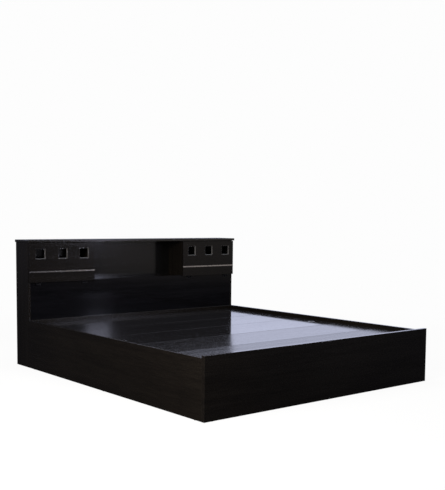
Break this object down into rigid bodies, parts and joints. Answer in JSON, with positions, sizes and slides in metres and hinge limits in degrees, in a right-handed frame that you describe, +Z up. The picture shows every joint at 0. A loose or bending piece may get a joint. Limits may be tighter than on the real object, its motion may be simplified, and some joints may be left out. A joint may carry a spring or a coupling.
{
  "type": "platform bed with box storage and cabinet headboard",
  "caption": "Low box bed with lift-off deck boards over storage bays and a deep headboard holding an open niche between two drop-flap cabinets.",
  "frame": {"origin": "centre of the bed's footprint, on the floor that its glides stand on", "axes": "+X across the bed to the right seen from the foot, +Y from the foot panel towards the headboard, +Z up"},
  "size_m": [1.908, 2.218, 0.916],
  "materials": {
    "wenge_laminate": "satin dark wenge woodgrain laminate",
    "door_laminate": "satin dark wenge laminate, square cut",
    "gloss_laminate": "high gloss dark wenge laminate",
    "deck_laminate": "glossy dark wenge laminate",
    "edge_band": "glossy dark brown edge band",
    "carcass_board": "plain brown melamine",
    "back_laminate": "matt dark backing laminate",
    "cleat_timber": "planed softwood",
    "zinc_steel": "zinc plated",
    "black_steel": "black lacquered steel",
    "ring_metal": "satin nickel",
    "strip_metal": "brushed, warm silver",
    "trim_metal": "satin anodised, darkened",
    "black_plastic": "moulded black plastic"
  },
  "bodies": {
    "bed": {"back_screws": "zinc_steel", "bracket_screws": "zinc_steel", "centre_divider": "carcass_board", "cleat_screws": "zinc_steel", "corner_brackets": "zinc_steel", "cross_divider_left": "carcass_board", "cross_divider_right": "carcass_board", "deck_filler": "deck_laminate", "filler_screws": "zinc_steel", "floor_battens": "cleat_timber", "floor_glides": "black_plastic", "foot_cleat": "cleat_timber", "foot_edge_bands": "edge_band", "foot_panel": "wenge_laminate", "head_cleat": "cleat_timber", "head_end_edge_band": "edge_band", "head_end_panel": "wenge_laminate", "headboard_back_lower": "back_laminate", "headboard_back_upper": "back_laminate", "headboard_bolts": "zinc_steel", "headboard_inserts": "zinc_steel", "headboard_lower_front": "gloss_laminate", "headboard_shelf": "wenge_laminate", "headboard_side_left": "wenge_laminate", "headboard_side_right": "wenge_laminate", "headboard_top": "wenge_laminate", "headboard_top_edge_bands": "edge_band", "headboard_uprights": "wenge_laminate", "hinge_fixed_leaves": "black_steel", "hinge_fixed_screws": "black_steel", "hinge_pins": "black_steel", "magnet_catches": "black_plastic", "niche_partition_left": "wenge_laminate", "niche_partition_right": "wenge_laminate", "rail_edge_band_left": "edge_band", "rail_edge_band_right": "edge_band", "side_cleat_left": "cleat_timber", "side_cleat_right": "cleat_timber", "side_rail_left": "wenge_laminate", "side_rail_right": "wenge_laminate", "storage_floor_left": "carcass_board", "storage_floor_right": "carcass_board"},
    "lid_1": {"deck_lid_1": "deck_laminate"},
    "lid_2": {"deck_lid_2": "deck_laminate"},
    "lid_3": {"deck_lid_3": "deck_laminate", "finger_rings": "ring_metal"},
    "lid_4": {"deck_lid_4": "deck_laminate"},
    "lid_5": {"deck_lid_5": "deck_laminate"},
    "door_left": {"flap_door_left": "door_laminate", "door_strip_left": "strip_metal", "cutout_trims_left": "trim_metal", "hinge_door_leaves_left": "black_steel", "hinge_door_screws_left": "black_steel", "strike_plate_left": "zinc_steel"},
    "door_right": {"flap_door_right": "door_laminate", "door_strip_right": "strip_metal", "cutout_trims_right": "trim_metal", "hinge_door_leaves_right": "black_steel", "hinge_door_screws_right": "black_steel", "strike_plate_right": "zinc_steel"}
  },
  "joints": [
    {"name": "lid_1_lift", "type": "slide", "parent": "bed", "child": "lid_1", "axis": [0, 0, 1], "range_m": [0, 0.25]},
    {"name": "lid_2_lift", "type": "slide", "parent": "bed", "child": "lid_2", "axis": [0, 0, 1], "range_m": [0, 0.25]},
    {"name": "lid_3_lift", "type": "slide", "parent": "bed", "child": "lid_3", "axis": [0, 0, 1], "range_m": [0, 0.25]},
    {"name": "lid_4_lift", "type": "slide", "parent": "bed", "child": "lid_4", "axis": [0, 0, 1], "range_m": [0, 0.25]},
    {"name": "lid_5_lift", "type": "slide", "parent": "bed", "child": "lid_5", "axis": [0, 0, 1], "range_m": [0, 0.25]},
    {"name": "door_left_hinge", "type": "hinge", "parent": "bed", "child": "door_left", "pos_m": [-0.679, 0.916, 0.609], "axis": [1, 0, 0], "range_deg": [0, 90]},
    {"name": "door_right_hinge", "type": "hinge", "parent": "bed", "child": "door_right", "pos_m": [0.679, 0.916, 0.609], "axis": [1, 0, 0], "range_deg": [0, 90]}
  ]
}
